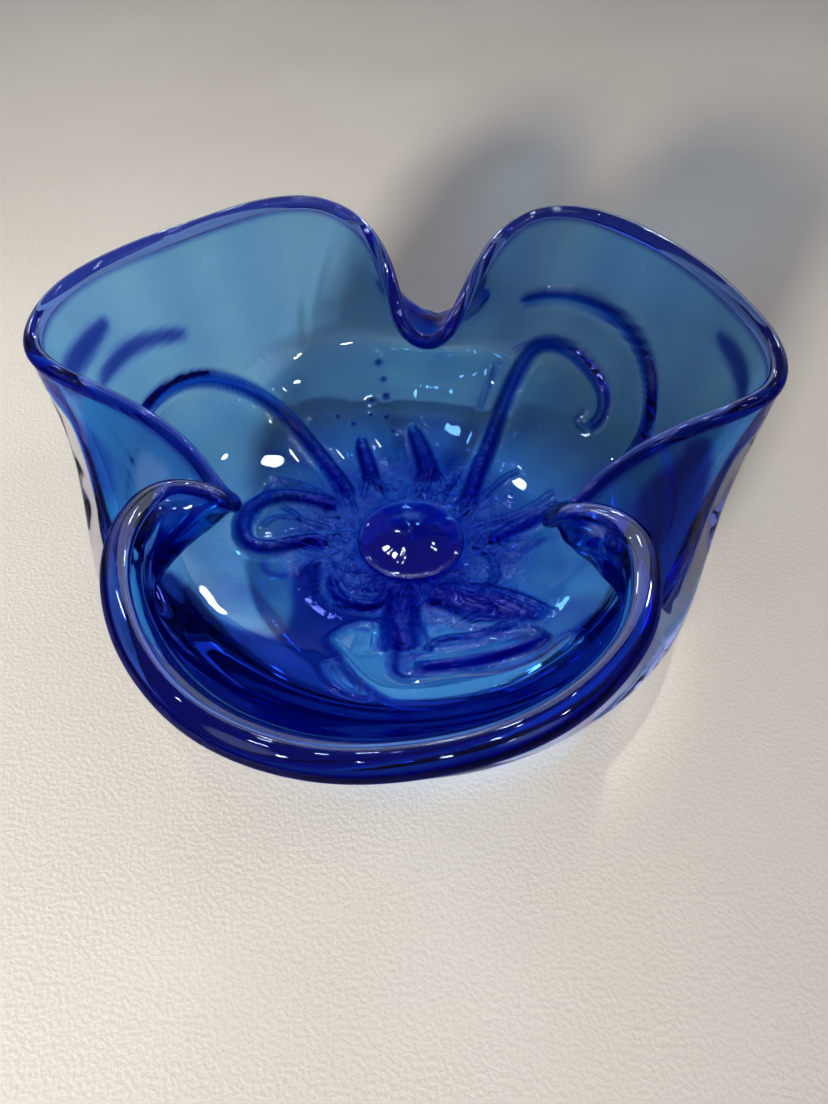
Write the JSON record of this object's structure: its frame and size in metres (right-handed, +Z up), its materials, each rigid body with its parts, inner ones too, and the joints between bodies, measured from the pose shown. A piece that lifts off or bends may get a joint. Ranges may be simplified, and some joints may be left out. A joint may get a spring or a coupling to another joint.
{
  "type": "art glass bowl",
  "caption": "Heavy hand-worked glass bowl with a lobed, folded lip, blue lining under a clear casing, and a flat ground base to rest on.",
  "frame": {"origin": "centre of the flat ground base, in its plane", "axes": "+Z up, out of the bowl's mouth; -Y towards the single front lobe; +X to the right seen from the front"},
  "size_m": [0.1795, 0.1852, 0.0931],
  "materials": {
    "clear_glass": "polished, colourless casing glass",
    "blue_glass": "polished, transparent steel-blue lining",
    "cobalt_glass": "polished, deep cobalt to violet-blue trail glass"
  },
  "bodies": {
    "root": {"clear_casing": "clear_glass", "punty_pad": "clear_glass", "blue_lining": "blue_glass", "lip_wrap": "cobalt_glass", "bottom_button": "cobalt_glass", "notch_bead": "cobalt_glass", "cord_back_left": "cobalt_glass", "cord_back_right": "cobalt_glass", "arc_back_right": "cobalt_glass", "petal_left": "cobalt_glass", "rib_front": "cobalt_glass", "blade_front": "cobalt_glass", "crescent_front": "cobalt_glass", "strand_right": "cobalt_glass", "swirl_front": "cobalt_glass", "leg_back_left": "cobalt_glass", "leg_back_right": "cobalt_glass"}
  },
  "joints": []
}
